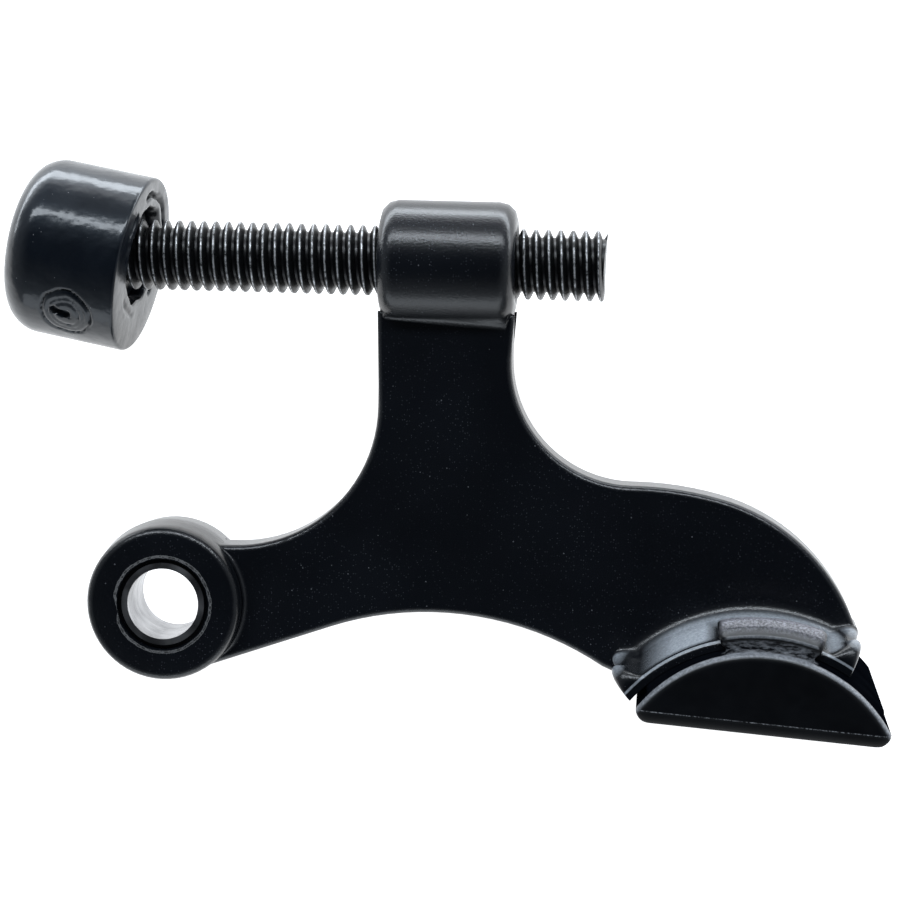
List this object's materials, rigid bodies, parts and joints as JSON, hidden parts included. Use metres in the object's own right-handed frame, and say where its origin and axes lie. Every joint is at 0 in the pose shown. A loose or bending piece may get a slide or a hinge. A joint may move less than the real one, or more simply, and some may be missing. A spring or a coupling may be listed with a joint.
{
  "type": "hinge pin door stop",
  "caption": "Hinge pin door stop: flat curved arm with a sleeved eye, a threaded adjuster with a soft bumper cap, and a half-moon swivel pad on a curved foot.",
  "frame": {"origin": "middle of the hinge pin bore", "axes": "+Z along the hinge pin bore, +X along the adjuster bolt towards its tail, +Y from the eye up to the bolt"},
  "size_m": [0.1017, 0.0622, 0.028],
  "materials": {
    "painted_casting": "satin black paint on a zinc casting",
    "bare_sleeve": "bare metal, lightly scratched",
    "black_bolt": "black oxide with worn thread crests",
    "soft_cap": "soft glossy black vinyl",
    "pad_plastic": "soft satin black moulding, scuffed"
  },
  "bodies": {
    "arm": {"stop_body": "painted_casting", "pin_bushing": "bare_sleeve"},
    "bumper": {"bumper_cap": "soft_cap"},
    "screw": {"adjuster_bolt": "black_bolt"},
    "pad": {"swivel_pad": "pad_plastic"}
  },
  "joints": [
    {"name": "pad_swivel", "type": "hinge", "parent": "arm", "child": "pad", "pos_m": [0.068, -0.01935, 0], "axis": [0, 0, 1], "range_deg": [-2.5, 27.5]},
    {"name": "adjuster_slide", "type": "slide", "parent": "arm", "child": "bumper", "axis": [1, 0, 0], "range_m": [-0.011, 0.0257]},
    {"name": "bolt_turn", "type": "hinge", "parent": "bumper", "child": "screw", "pos_m": [0, 0.0398, 0], "axis": [1, 0, 0], "range_deg": [-2807, 6557]}
  ],
  "couplings": [
    {"joint": "bolt_turn", "follows": "adjuster_slide", "rad_per_m": 4452.6}
  ]
}
